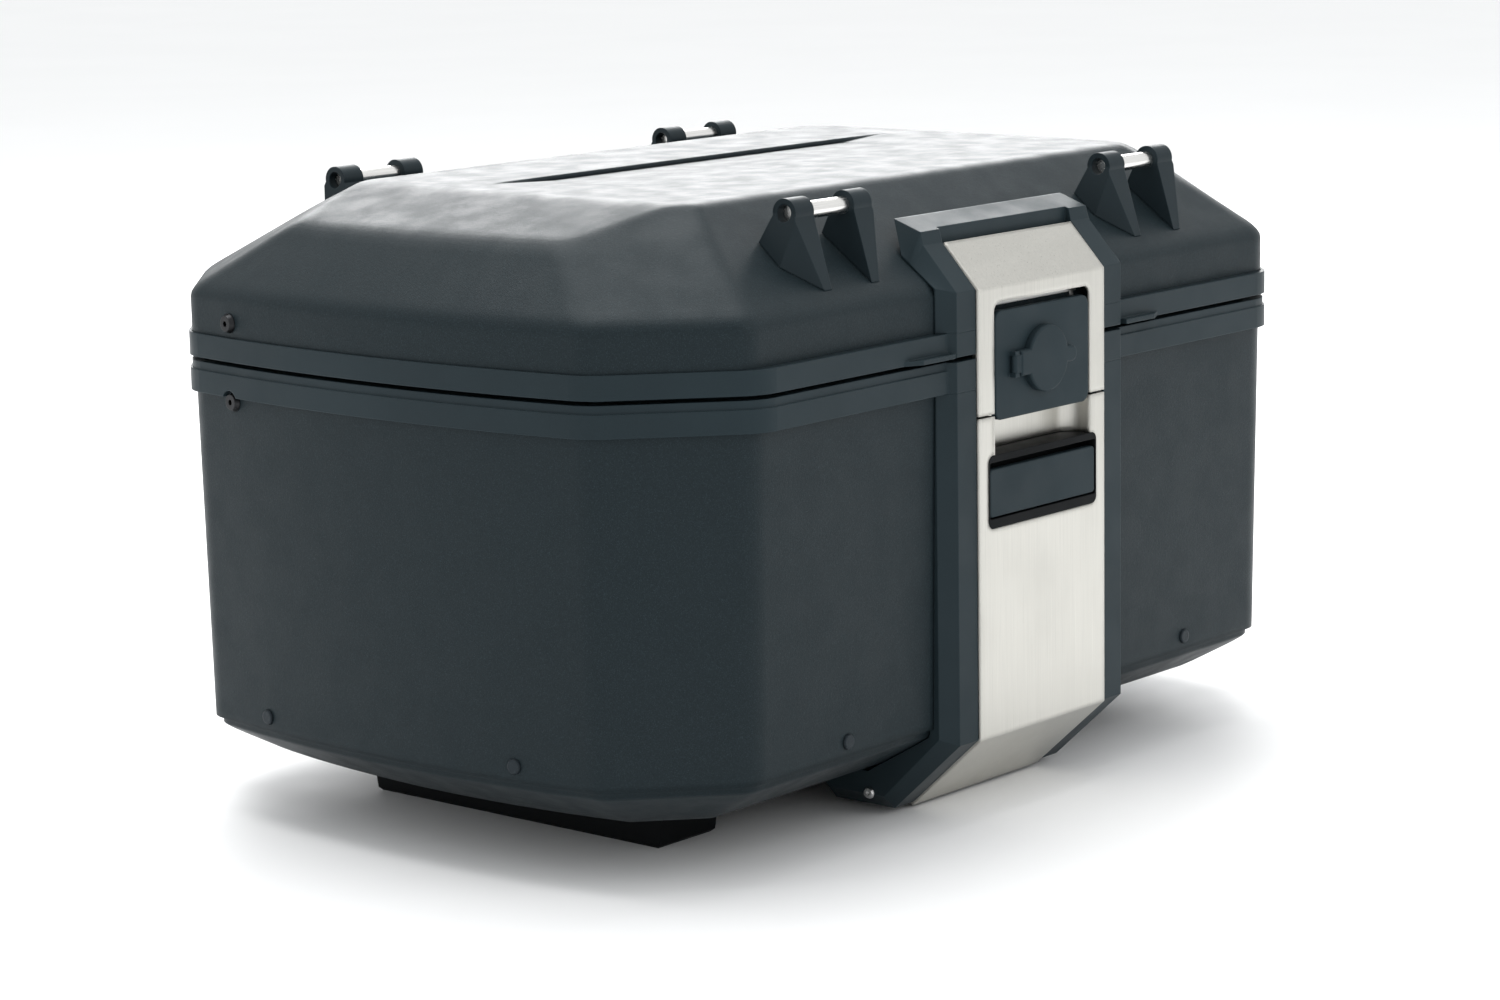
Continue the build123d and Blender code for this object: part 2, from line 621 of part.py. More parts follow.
with BuildPart() as dust_cap:
    cap_z = SEAM - LOCK_DROP
    with BuildSketch(Plane.XZ.offset(COVER_FACE + 0.3)):
        with Locations((0, cap_z)):
            Circle(CAP_R)
            with Locations((CAP_R, 0)):
                SlotOverall(14, 8)
        with Locations((-CAP_AXIS_X / 2 - 1, cap_z)):
            Rectangle(CAP_AXIS_X - 8, 12.2)
    extrude(amount=CAP_T)
    rim = dust_cap.faces().sort_by(Axis.Y)[0].edges()
    fillet(rim, 1.2)
    # strap round the hinge pin, between the two ears
    with BuildSketch(Plane.XY.offset(cap_z - 4.2)):
        with BuildLine():
            Polyline(
                (-CAP_AXIS_X, -COVER_FACE - 0.3),
                (-14, -COVER_FACE - 0.3),
                (-14, -COVER_FACE - 3.5),
                (-CAP_AXIS_X, -COVER_FACE - 3.5),
                close=True,
            )
        make_face()
        with Locations((-CAP_AXIS_X, -COVER_FACE - 1.9)):
            Circle(1.6)
    extrude(amount=8.4)
    with BuildSketch(Plane.XY.offset(cap_z - 10)):
        with Locations((-CAP_AXIS_X, -COVER_FACE - 1.9)):
            Circle(0.8 + RUN)
    extrude(amount=20, mode=Mode.SUBTRACT)
    for up in (-5.3, 5.3):
        with Locations((-CAP_AXIS_X, -COVER_FACE - 1.9, cap_z + up)):
            Box(5, 5, 2.2, mode=Mode.SUBTRACT)

with BuildPart() as lock_barrel:
    with BuildSketch(Plane.XZ.offset(COVER_FACE - 9.5)):
        with Locations((0, cap_z)):
            Circle(BARREL_R)
            Circle(PLUG_R + RUN, mode=Mode.SUBTRACT)
    extrude(amount=9.5)

with BuildPart() as lock_plug:
    with BuildSketch(Plane.XZ.offset(COVER_FACE - 10.0)):
        with Locations((0, cap_z)):
            Circle(PLUG_R)
    extrude(amount=9.8)
    with Locations((0, -COVER_FACE + 1, cap_z)):
        Box(1.6, 6, 7, mode=Mode.SUBTRACT)

with BuildPart() as lock_cam:
    with BuildSketch(Plane.XZ.offset(COVER_FACE - 11.4)):
        with Locations((0, cap_z + 1.5)):
            SlotOverall(14, 7, rotation=90)
    extrude(amount=1.3)

pin_half = 36.5
with BuildPart() as latch_pins:
    for y, up in ((FLAP_AXIS_Y, FLAP_AXIS_UP), (FLAP_AXIS_Y + 0.4, HOOK_AXIS_UP)):
        with BuildSketch(Plane.YZ.offset(-pin_half)):
            with Locations((-y, SEAM + up)):
                Circle(FLAP_PIN_R if up == FLAP_AXIS_UP else 1.5)
        extrude(amount=2 * pin_half)

with BuildPart() as latch_bracket:
    with Locations((0, -(foot_y + 0.5), SEAM + 24.8)):
        Box(76, 1.0, 6.4)
    for side in (-1, 1):
        with BuildSketch(Plane.YZ.offset(side * 34.5 - 1.5)):
            with Locations((-FLAP_AXIS_Y, SEAM + FLAP_AXIS_UP)):
                Circle(FLAP_LUG_R)
            with Locations((-(FLAP_AXIS_Y + foot_y) / 2, SEAM + FLAP_AXIS_UP)):
                Rectangle(FLAP_AXIS_Y - foot_y, 2 * FLAP_LUG_R)
            with Locations((-(foot_y + 0.5), SEAM + 20)):
                Rectangle(1.0, 12)
            with Locations((-177.9, SEAM + 9.7)):
                Rectangle(5.2, 9.4)
        extrude(amount=3)
latch_bracket.part = latch_bracket.part - latch_pins.part

with BuildPart() as latch_hook:
    with BuildSketch(Plane.XZ.offset(176.8)):
        with Locations((0, SEAM + HOOK_AXIS_UP)):
            Rectangle(48, 6)
        for side in (-1, 1):
            with Locations((side * 20, SEAM - 2)):
                Rectangle(8, 22)
    extrude(amount=3)
    for side in (-1, 1):
        with Locations((side * 20, -177, SEAM - 12)):
            Box(8, 2, 2)
    with BuildSketch(Plane.YZ.offset(-50)):
        with Locations((-FLAP_AXIS_Y - 0.4, SEAM + HOOK_AXIS_UP)):
            Circle(1.5 + RUN)
    extrude(amount=100, mode=Mode.SUBTRACT)

with BuildPart() as striker:
    for side in (-1, 1):
        with Locations((side * 20, -(pocket_back + 0.9), SEAM - 8)):
            Box(12, 1.5, 12)
        with Locations((side * 20, -(pocket_back + 2.4), SEAM - 7.5)):
            Box(10, 3.2, 2.5)

# ---------------------------------------------------------------- carrier release
with BuildPart() as handle_bezel:
    bezel_low, bezel_high = SEAM - BEZEL_DROP, SEAM - BEZEL_TOP
    face_window(bezel_low, bezel_high, BEZEL_HALF, 3.5, 172.5, Mode.ADD)
    with Locations((0, -(COVER_FACE + 10.2), (bezel_low + bezel_high) / 2)):
        Box(200, 20, 60, mode=Mode.SUBTRACT)
    face_low = SEAM - PANEL_DROP - 0.8
    face_window(face_low, bezel_high - BEZEL_BAR, PANEL_HALF + 0.4, 1.0, 174.5)
    # shelf that floors the finger pocket
    with Locations((0, -171.5, bezel_high - 1.1)):
        Box(2 * POCKET_HALF - 1, 4.4, 2.2)
    # slot for the lever's tail
    with Locations((0, -174, face_low + 2.5)):
        Box(14, 6, 12, mode=Mode.SUBTRACT)
    with Locations((0, -178, face_low - 2)):
        Box(14, 8.6, 6, mode=Mode.SUBTRACT)

axis_y, axis_z = -PANEL_AXIS_Y, SEAM - PANEL_AXIS_DROP
with BuildPart() as handle_panel:
    face_window(SEAM - PANEL_DROP, SEAM - PANEL_TOP, PANEL_HALF, 2.0, COVER_FACE - PANEL_T, Mode.ADD)
    with Locations((0, -(COVER_FACE + 10), SEAM - 65)):
        Box(200, 20, 60, mode=Mode.SUBTRACT)
    fillet(handle_panel.faces().sort_by(Axis.Y)[0].edges(), 0.7)
    with BuildSketch(Plane.YZ.offset(-4)):
        with BuildLine():
            Polyline(
                (-180.6, axis_z + 4),
                (-178.5, axis_z + 2),
                (-174.8, axis_z - 3.4),
                (-174.8, axis_z - 5.2),
                (-176.0, axis_z - 5.2),
                (-180.6, axis_z + 0.2),
                close=True,
            )
        make_face()
    extrude(amount=8)
    with BuildSketch(Plane.YZ.offset(-60)):
        with Locations((axis_y, axis_z)):
            Circle(0.9 + RUN)
    extrude(amount=120, mode=Mode.SUBTRACT)

with BuildPart() as handle_pin:
    with BuildSketch(Plane.YZ.offset(-BEZEL_HALF + 0.2)):
        with Locations((axis_y, axis_z)):
            Circle(0.9)
    extrude(amount=2 * BEZEL_HALF - 0.4)
handle_bezel.part = handle_bezel.part - handle_pin.part

rod_top = axis_z - 6.0
rod_low = SEAM - 190.6
hook_y, hook_z = -135.0, SEAM - 206.0
with BuildPart() as release_rod:
    with BuildSketch(Plane.YZ.offset(-5)):
        with BuildLine():
            Polyline(
                (-180.3, rod_top),
                (-180.3, SEAM - 176.5),
                (-166.0, rod_low),
                (-164.0, rod_low),
                (-164.0, SEAM - 189.9),
                (-178.3, SEAM - 175.7),
                (-178.3, rod_top - 1.5),
                (-174.2, rod_top - 1.5),
                (-174.2, rod_top),
                close=True,
            )
        make_face()
    extrude(amount=10)
    # stirrup round the lever's tail
    with Locations((0, -174.5, rod_top + 2.7)):
        Box(13, 1.4, 5.4)
    with Locations((0, -174.5, rod_top + 2.2)):
        Box(9.4, 2.0, 4.4, mode=Mode.SUBTRACT)
    with Locations((0, -174.9, rod_top - 0.75)):
        Box(13, 2.2, 1.5)
    # stem between the hook's tines, with a foot under them
    with Locations((0, -165.0, SEAM - 193.2)):
        Box(5, 2.0, 6.0)
    with Locations((0, -164.6, SEAM - 195.5)):
        Box(12, 3.2, 1.4)

with BuildPart() as carrier_hook:
    with BuildSketch(Plane.YZ.offset(-9)):
        with BuildLine():
            Polyline(
                (-167.2, SEAM - 191.6),
                (-167.2, SEAM - 194.4),
                (-160.0, SEAM - 194.4),
                (hook_y - 4, hook_z - 5),
                (hook_y + 8, hook_z - 15),
                (hook_y + 18, hook_z - 13.5),
                (hook_y + 12, hook_z - 10),
                (hook_y + 5, hook_z + 2),
                (hook_y - 4, hook_z + 4.2),
                close=True,
            )
        make_face()
        with Locations((hook_y, hook_z)):
            Circle(2.0 + RUN, mode=Mode.SUBTRACT)
    extrude(amount=18)
    with Locations((0, -164, SEAM - 193)):
        Box(6, 12, 10, mode=Mode.SUBTRACT)

with BuildPart() as lock_housing:
    for side in (-1, 1):
        with Locations((side * 14, -128, SEAM - 207.7)):
            Box(4, 26, 15)
    with Locations((0, -114, SEAM - 201.6)):
        Box(32, 20, 2.8)
    with BuildSketch(Plane.YZ.offset(-30)):
        with Locations((hook_y, hook_z)):
            Circle(2.0)
    extrude(amount=60, mode=Mode.SUBTRACT)
with BuildPart() as carrier_hook_pin:
    with BuildSketch(Plane.YZ.offset(-17.5)):
        with Locations((hook_y, hook_z)):
            Circle(2.0)
    extrude(amount=35)

house_low, house_high = SEAM - BEZEL_DROP - 7, rim_under - 0.5
house_mid, house_h = (house_low + house_high) / 2, house_high - house_low
with BuildPart() as release_housing:
    inner_wall = DEPTH / 2 - RIM_PROUD - SHEET - WALL_DRAFT - AIR
    with Locations((0, -(inner_wall - 5), house_mid)):
        Box(2 * SEAT_HALF + 6, 10, house_h)
    with Locations((0, -(inner_wall - 4), house_mid)):
        Box(2 * SEAT_HALF + 2, 8.2, house_h - 4, mode=Mode.SUBTRACT)

# ---------------------------------------------------------------- hinges
axis_rear = HINGE_AXIS_Y
leaf_y = DEPTH / 2 + FIT


def hinge_leaf(x, up):
    """One leaf of a rear hinge, up on the lid or down on the box."""
    face = leaf_y + LEAF_T
    if up:
        outline = [
            (leaf_y, SEAM + RIM_GAP + 0.2),
            (face, SEAM + RIM_GAP + 0.2),
            (face, rim_top + 1.2),
            (leaf_y - 1, rim_top + 4),
            (leaf_y - 2, SEAM + 30),
            (eave_y + 0.2, SEAM + 30),
            (eave_y + 0.2, rim_top + 0.5),
            (leaf_y, rim_top + 0.5),
        ]
        webs = [(-7.0, 14.0)]
    else:
        outline = [
            (leaf_y, SEAM - 1.5),
            (face, SEAM - 1.5),
            (face, rim_under - 1.2),
            (leaf_y - 1, rim_under - 4),
            (leaf_y - 2, SEAM - 38),
            (eave_y + 0.2, SEAM - 38),
            (eave_y + 0.2, rim_under - 0.5),
            (leaf_y, rim_under - 0.5),
        ]
        webs = [(-HINGE_W / 2, HINGE_W / 2 - 7.3), (7.3, HINGE_W / 2 - 7.3)]
    with BuildSketch(Plane.YZ.offset(x - HINGE_W / 2)) as leaf:
        with BuildLine():
            Polyline(*outline, close=True)
        make_face()
    extrude(leaf.sketch, amount=HINGE_W)
    sign = 1 if up else -1
    for start, width in webs:
        with BuildSketch(Plane.YZ.offset(x + start)) as knuckle:
            with Locations((axis_rear, hinge_z)):
                Circle(KNUCKLE_R)
            with Locations(((face + axis_rear) / 2 - 0.5, hinge_z + sign * 3.0)):
                Rectangle(axis_rear - face + 1, 2.4)
            with Locations((axis_rear, hinge_z)):
                Circle(HINGE_PIN_R + RUN, mode=Mode.SUBTRACT)
        extrude(knuckle.sketch, amount=width)


hinge_screw_x = 12.0
hinge_screw_up = 22.0
hinge_screw_drop = 28.0


def hinge_screw_planes(up):
    """Two screws of one leaf on each side, pointing out of the rear wall."""
    height = SEAM + hinge_screw_up if up else SEAM - hinge_screw_drop
    face = leaf_y - 1.2 if up else leaf_y - 1.4
    return [
        Plane(origin=(side * HINGE_X + x, face + 0.4, height), z_dir=(0, 1, 0))
        for side in (-1, 1)
        for x in (-hinge_screw_x, hinge_screw_x)
    ]


def screws(planes, head_r, head_h, shank_r, shank_l):
    """Button-head screws with a hexagon socket, heads on the given planes."""
    for place in planes:
        with BuildSketch(place) as head:
            Circle(head_r)
        extrude(head.sketch, amount=head_h, taper=22)
        with BuildSketch(place) as shank:
            Circle(shank_r)
        extrude(shank.sketch, amount=-shank_l)
        with BuildSketch(place.offset(head_h)) as socket:
            RegularPolygon(head_r * 0.33, 6)
        extrude(socket.sketch, amount=-head_h * 0.75, mode=Mode.SUBTRACT)


def drill(piece, planes, radius, depth):
    """The piece with a clearance hole behind each screw plane."""
    with BuildPart() as holes:
        for place in planes:
            with BuildSketch(place.offset(8)) as hole:
                RegularPolygon(radius, 12, major_radius=False)
            extrude(hole.sketch, amount=-depth - 8)
    return piece - holes.part


with BuildPart() as hinge_pins:
    for side in (-1, 1):
        with Locations(Location((side * HINGE_X, axis_rear, hinge_z), (0, 90, 0))):
            Cylinder(HINGE_PIN_R, HINGE_W + 1)

leaves = {}
for end, side in (("left", -1), ("right", 1)):
    for level, up in (("upper", True), ("lower", False)):
        with BuildPart() as leaf_part:
            hinge_leaf(side * HINGE_X, up)
        leaves[f"{end}_hinge_{level}_leaf"] = leaf_part.part

# ---------------------------------------------------------------- base
rail_top = SEAM - TUB_FLOOR - FIT
with BuildPart() as left_base_rail:
    with BuildSketch(Plane.YZ.offset(-RAIL_X - RAIL_W / 2)):
        Polygon(
            (-RAIL_HALF_L, 0),
            (RAIL_HALF_L, 0),
            (RAIL_HALF_L + 4, rail_top),
            (-RAIL_HALF_L - 4, rail_top),
            align=None,
        )
    extrude(amount=RAIL_W)
    chamfer(left_base_rail.faces().filter_by(Plane.XY).group_by(Axis.Z)[0].edges(), RAIL_CHAMFER)

# foot between the rails, screwed up under the carrier plate
cross_bar_top = rail_top - CARRIER_PLATE_T - FIT
with BuildPart() as base_cross_bar:
    with Locations((0, 0, cross_bar_top / 2)):
        Box(2 * (RAIL_X - RAIL_W / 2 - FIT), CROSS_BAR_W, cross_bar_top)
    chamfer(base_cross_bar.faces().filter_by(Plane.XY).group_by(Axis.Z)[0].edges(), RAIL_CHAMFER)
rail_screws_at = [
    Plane(origin=(side * RAIL_X, y, SEAM - TUB_FLOOR + TUB_T + 0.1), z_dir=(0, 0, 1))
    for side in (-1, 1)
    for y in (-60, 60)
]
claw_plate_screws_at = [
    Plane(origin=(x, y, SEAM - TUB_FLOOR + TUB_T + 0.1), z_dir=(0, 0, 1))
    for x in (-85, 85)
    for y in (-CLAW_SCREW_IN, 60)
]
with BuildPart() as carrier_plate:
    # plate that hooks under the carrier's front bar and stiffens the floor
    with BuildSketch(Plane.XY.offset(rail_top - CARRIER_PLATE_T)):
        with Locations((0, 20)):
            RectangleRounded(220, 120, 14)
            Rectangle(90, 50, mode=Mode.SUBTRACT)
    extrude(amount=CARRIER_PLATE_T)
    for x in (-70, 70):
        with BuildSketch(Plane.YZ.offset(x - 14)):
            with BuildLine():
                Polyline((60, rail_top - 4), (76, rail_top - 4), (76, 5), (54, 5), (54, 8), (70, 8), (70, 13), close=True)
            make_face()
        extrude(amount=28)

# ---------------------------------------------------------------- lashing hooks
def lid_surface_plane(x, y):
    """Plane on the lid's front or rear slope, its Z standing out of the lid."""
    edge = TOP_FRONT if y < 0 else TOP_REAR
    run = eave_y - edge
    height = SEAM + EAVE_UP + (eave_y - abs(y)) * slope_rise / run
    side = -1 if y < 0 else 1
    normal = Vector(0, side * slope_rise, run).normalized()
    return Plane(origin=(x, y, height), x_dir=(1, 0, 0), z_dir=normal)


def lashing_post(x, y, side):
    """A post beside one end of a bar, side -1 or 1 along X."""
    facing = -1 if y < 0 else 1
    edge = TOP_FRONT if y < 0 else TOP_REAR
    rise = slope_rise / (eave_y - edge)
    inner = BAR_SPAN / 2

    def seat(reach):
        return SEAM + EAVE_UP + (eave_y - reach) * rise + AIR

    far, near, bar_y = abs(y) + 16.5, abs(y) - 12.5, abs(y)
    with BuildPart() as post:
        # side view
        with BuildSketch(Plane.YZ.offset(x - 50)) as view:
            Polygon(
                (facing * (bar_y + 6), SEAM + BAR_UP),
                (facing * (bar_y - 6), SEAM + BAR_UP),
                (facing * near, seat(near)),
                (facing * far, seat(far)),
                align=None,
            )
        extrude(amount=100)
        # view from the front
        with BuildSketch(Plane.XZ.offset(-far if facing > 0 else 0)) as view:
            Polygon(
                (x + side * inner, SEAM + BAR_UP),
                (x + side * (inner + POST_W), SEAM + BAR_UP),
                (x + side * (inner + POST_SPREAD), SEAM + 50),
                (x + side * (inner + POST_SPREAD), SEAM + 20),
                (x + side * inner, SEAM + 20),
                align=None,
            )
        extrude(amount=far, mode=Mode.INTERSECT)
        # plan view, pointed towards the eave
        with BuildSketch(Plane.XY.offset(SEAM)):
            Polygon(
                (x + side * inner, facing * (far + 1)),
                (x + side * (inner + 4.5), facing * (far + 1)),
                (x + side * (inner + POST_SPREAD + 1), facing * bar_y),
                (x + side * (inner + POST_SPREAD + 1), facing * (near - 1)),
                (x + side * inner, facing * (near - 1)),
                align=None,
            )
        extrude(amount=200, mode=Mode.INTERSECT)
        with BuildSketch(Plane.YZ.offset(x + (inner if side > 0 else -inner - POST_W))):
            with Locations((y, SEAM + BAR_UP)):
                Circle(POST_R)
        extrude(amount=POST_W)
        with BuildSketch(Plane.YZ.offset(x - BAR_SPAN)):
            with Locations((y, SEAM + BAR_UP)):
                Circle(BAR_R + RUN)
        extrude(amount=2 * BAR_SPAN, mode=Mode.SUBTRACT)
    return post.part


bars = {}
posts = {}
hook_places = [
    (f"{name}_{end}", side * BAR_X, y)
    for name, y in (("front", -BAR_FRONT), ("rear", BAR_REAR))
    for end, side in (("left", -1), ("right", 1))
]
for name, x, y in hook_places:
    with BuildPart() as bar:
        with BuildSketch(Plane.YZ.offset(x - BAR_SPAN / 2 - 9)):
            with Locations((y, SEAM + BAR_UP)):
                Circle(BAR_R)
        extrude(amount=BAR_SPAN + 18)
    bars[name] = bar.part
    posts[name] = lashing_post(x, y, -1) + lashing_post(x, y, 1)

lashing_screw_planes = []
for name, x, y in hook_places:
    for side in (-1, 1):
        seat = lid_surface_plane(x + side * (BAR_SPAN / 2 + 6.5), y)
        under = seat.offset(-(SHEET + 0.2 + AIR + 0.6))
        lashing_screw_planes.append(Plane(origin=under.origin, x_dir=under.x_dir, z_dir=-under.z_dir))

# ---------------------------------------------------------------- screws
side_screw_planes = {}
for key, height, inset in (
    ("lid", SEAM + lid_screw_up, RIM_PROUD - LID_FLUSH),
    ("body", SEAM - body_screw_drop, wall_inset(body_screw_drop) - WALL_FLUSH),
):
    side_screw_planes[key] = [side_plane(side, screw_y, SEAM - height, inset, 0.12) for side in (-1, 1)]
with BuildPart() as lid_side_screws:
    screws(side_screw_planes["lid"], SCREW_HEAD_R, 2.4, 2.4, 9)
with BuildPart() as body_side_screws:
    screws(side_screw_planes["body"], SCREW_HEAD_R, 2.4, 2.4, 9)
with BuildPart() as hinge_upper_screws:
    screws(hinge_screw_planes(True), 3.6, 2.0, 2.0, 10)
with BuildPart() as hinge_lower_screws:
    screws(hinge_screw_planes(False), 3.6, 2.0, 2.0, 10)
fairing_screw_planes = [
    Plane(origin=(side * (COLUMN_HALF + 0.1), -134.0, SEAM - 210.5), z_dir=(side, 0, 0)) for side in (-1, 1)
]
with BuildPart() as fairing_screws:
    screws(fairing_screw_planes, 3.0, 1.4, 1.6, 12)
with BuildPart() as lashing_screws:
    screws(lashing_screw_planes, 4.0, 2.0, 2.0, 13)
with BuildPart() as rail_screws:
    screws(rail_screws_at, 4.5, 2.2, 2.4, 14)
with BuildPart() as carrier_plate_screws:
    screws(claw_plate_screws_at, 4.5, 2.2, 2.4, 11)

lid_part = drill(lid_shell.part, side_screw_planes["lid"], 2.5, 12)
lid_part = drill(lid_part, hinge_screw_planes(True), 2.1, 12)
lid_part = drill(lid_part, lashing_screw_planes, 2.1, 14)
wall_part = drill(body_wall.part, side_screw_planes["body"], 2.5, 12)
wall_part = drill(wall_part, hinge_screw_planes(False), 2.1, 12)
tub_part = drill(bottom_tub.part, rail_screws_at + claw_plate_screws_at, 2.5, 16)
rail_part = drill(left_base_rail.part, rail_screws_at, 2.45, 15)
right_rail = drill(mirror(left_base_rail.part, about=Plane.YZ), rail_screws_at, 2.45, 15)
cross_bar_part = drill(base_cross_bar.part, claw_plate_screws_at, 2.45, 15)
plate_part = drill(carrier_plate.part, claw_plate_screws_at, 2.45, 12)
fairing_part = drill(lower_fairing.part, fairing_screw_planes, 1.65, 13)
for name in leaves:
    leaves[name] = drill(leaves[name], hinge_screw_planes("upper" in name), 2.1, 11)
for name in posts:
    posts[name] = drill(posts[name], lashing_screw_planes, 2.05, 14)

# ---------------------------------------------------------------- write the pieces
pieces = {
    "body_wall": wall_part,
    "bottom_tub": tub_part,
    "tub_rivets": tub_rivets.part,
    "lower_rim": lower_rim.part,
    "lower_fairing": fairing_part,
    "lower_cover": lower_cover.part,
    "fairing_screws": fairing_screws.part,
    "body_side_screws": body_side_screws.part,
    "striker": striker.part,
    "handle_bezel": handle_bezel.part,
    "handle_pin": handle_pin.part,
    "release_housing": release_housing.part,
    "lock_housing": lock_housing.part,
    "carrier_hook_pin": carrier_hook_pin.part,
    "left_base_rail": rail_part,
    "right_base_rail": right_rail,
    "base_cross_bar": cross_bar_part,
    "rail_screws": rail_screws.part,
    "carrier_plate": plate_part,
    "carrier_plate_screws": carrier_plate_screws.part,
    "hinge_lower_screws": hinge_lower_screws.part,
    "hinge_pins": hinge_pins.part,
    "handle_panel": handle_panel.part,
    "release_rod": release_rod.part,
    "carrier_hook": carrier_hook.part,
    "lid_shell": lid_part,
    "upper_rim": upper_rim.part,
    "rim_seal": rim_seal.part,
    "lid_side_screws": lid_side_screws.part,
    "upper_fairing": upper_fairing.part,
    "upper_cover": upper_cover.part,
    "latch_bracket": latch_bracket.part,
    "latch_pins": latch_pins.part,
    "lashing_screws": lashing_screws.part,
    "hinge_upper_screws": hinge_upper_screws.part,
    "latch_flap": latch_flap.part,
    "lock_barrel": lock_barrel.part,
    "dust_cap_pin": dust_cap_pin.part,
    "latch_hook": latch_hook.part,
    "lock_plug": lock_plug.part,
    "lock_cam": lock_cam.part,
    "dust_cap": dust_cap.part,
}
for name, _, _ in hook_places:
    pieces[f"{name}_lashing_posts"] = posts[name]
    pieces[f"{name}_lashing_bar"] = bars[name]
pieces.update(leaves)
for name, part in pieces.items():
    save(name, part)
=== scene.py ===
import json
import math

import bpy
from mathutils import Euler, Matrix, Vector

# Looks of the motorcycle top case. Metres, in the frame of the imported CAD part.

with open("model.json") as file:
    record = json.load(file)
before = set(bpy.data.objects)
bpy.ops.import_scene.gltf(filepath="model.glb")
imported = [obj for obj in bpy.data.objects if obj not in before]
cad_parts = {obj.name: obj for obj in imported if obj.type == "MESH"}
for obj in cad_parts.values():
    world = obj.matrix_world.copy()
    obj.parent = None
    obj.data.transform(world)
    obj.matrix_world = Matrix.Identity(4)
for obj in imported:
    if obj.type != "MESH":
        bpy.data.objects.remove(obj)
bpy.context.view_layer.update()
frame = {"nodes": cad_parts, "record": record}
nodes = frame["nodes"]

COOL_TINT = (0.86, 0.95, 1.0, 1.0)  # reflections off the dark coats are slightly blue
BEVEL_SAMPLES = 6
FLOOR_SIZE = 30.0
WORLD_COLOUR = (0.985, 0.995, 1.0, 1)
WORLD_STRENGTH = 1.0
BOX_MIDDLE = (0, 0, 0.2)  # where the front and top lights point
CAMERA_PLACE = (-1.48900, -1.25783, 0.48840)
CAMERA_TURN = (79.5274, 1.0050, -50.0182)  # degrees about X, Y and Z
CAMERA_SENSOR = 36.0
CAMERA_LENS = 93.713


